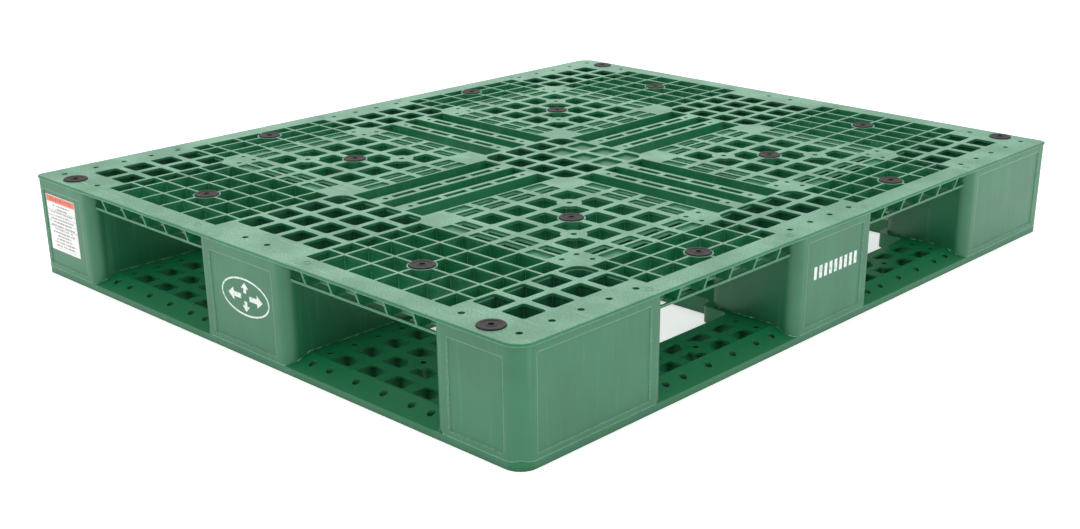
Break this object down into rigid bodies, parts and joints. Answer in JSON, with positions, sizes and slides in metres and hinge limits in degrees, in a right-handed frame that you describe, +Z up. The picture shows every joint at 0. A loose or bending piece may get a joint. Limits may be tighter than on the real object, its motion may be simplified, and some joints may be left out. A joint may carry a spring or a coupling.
{
  "type": "plastic pallet",
  "caption": "Four-way plastic block pallet with a vented top deck, hollow blocks, a bottom deck with wheel openings and rubber grip grommets.",
  "frame": {"origin": "on the floor, under the middle of the pallet", "axes": "+X along the long side, +Y along the short side, +Z up; front is the -Y long side, left is the -X short side"},
  "size_m": [1.2192, 1.016, 0.1542],
  "materials": {
    "deck_plastic": "moulded polyethylene, satin, scuffed",
    "base_plastic": "moulded polyethylene, satin",
    "block_plastic": "moulded polyethylene, faint drag lines",
    "grommet_rubber": "matt, worn",
    "label_film": "printed film with an orange band"
  },
  "bodies": {
    "root": {"top_deck": "deck_plastic", "bottom_deck": "base_plastic", "corner_block_front_left": "block_plastic", "corner_block_front_right": "block_plastic", "corner_block_back_left": "block_plastic", "corner_block_back_right": "block_plastic", "long_side_block_front": "block_plastic", "long_side_block_back": "block_plastic", "short_side_block_left": "block_plastic", "short_side_block_right": "block_plastic", "centre_block": "block_plastic", "corner_grommet_front_left": "grommet_rubber", "corner_grommet_front_right": "grommet_rubber", "corner_grommet_back_left": "grommet_rubber", "corner_grommet_back_right": "grommet_rubber", "long_side_grommet_front_left": "grommet_rubber", "long_side_grommet_front_right": "grommet_rubber", "long_side_grommet_back_left": "grommet_rubber", "long_side_grommet_back_right": "grommet_rubber", "short_side_grommet_front_left": "grommet_rubber", "short_side_grommet_front_right": "grommet_rubber", "short_side_grommet_back_left": "grommet_rubber", "short_side_grommet_back_right": "grommet_rubber", "panel_grommet_front_left": "grommet_rubber", "panel_grommet_front_right": "grommet_rubber", "panel_grommet_back_left": "grommet_rubber", "panel_grommet_back_right": "grommet_rubber", "label": "label_film"}
  },
  "joints": []
}
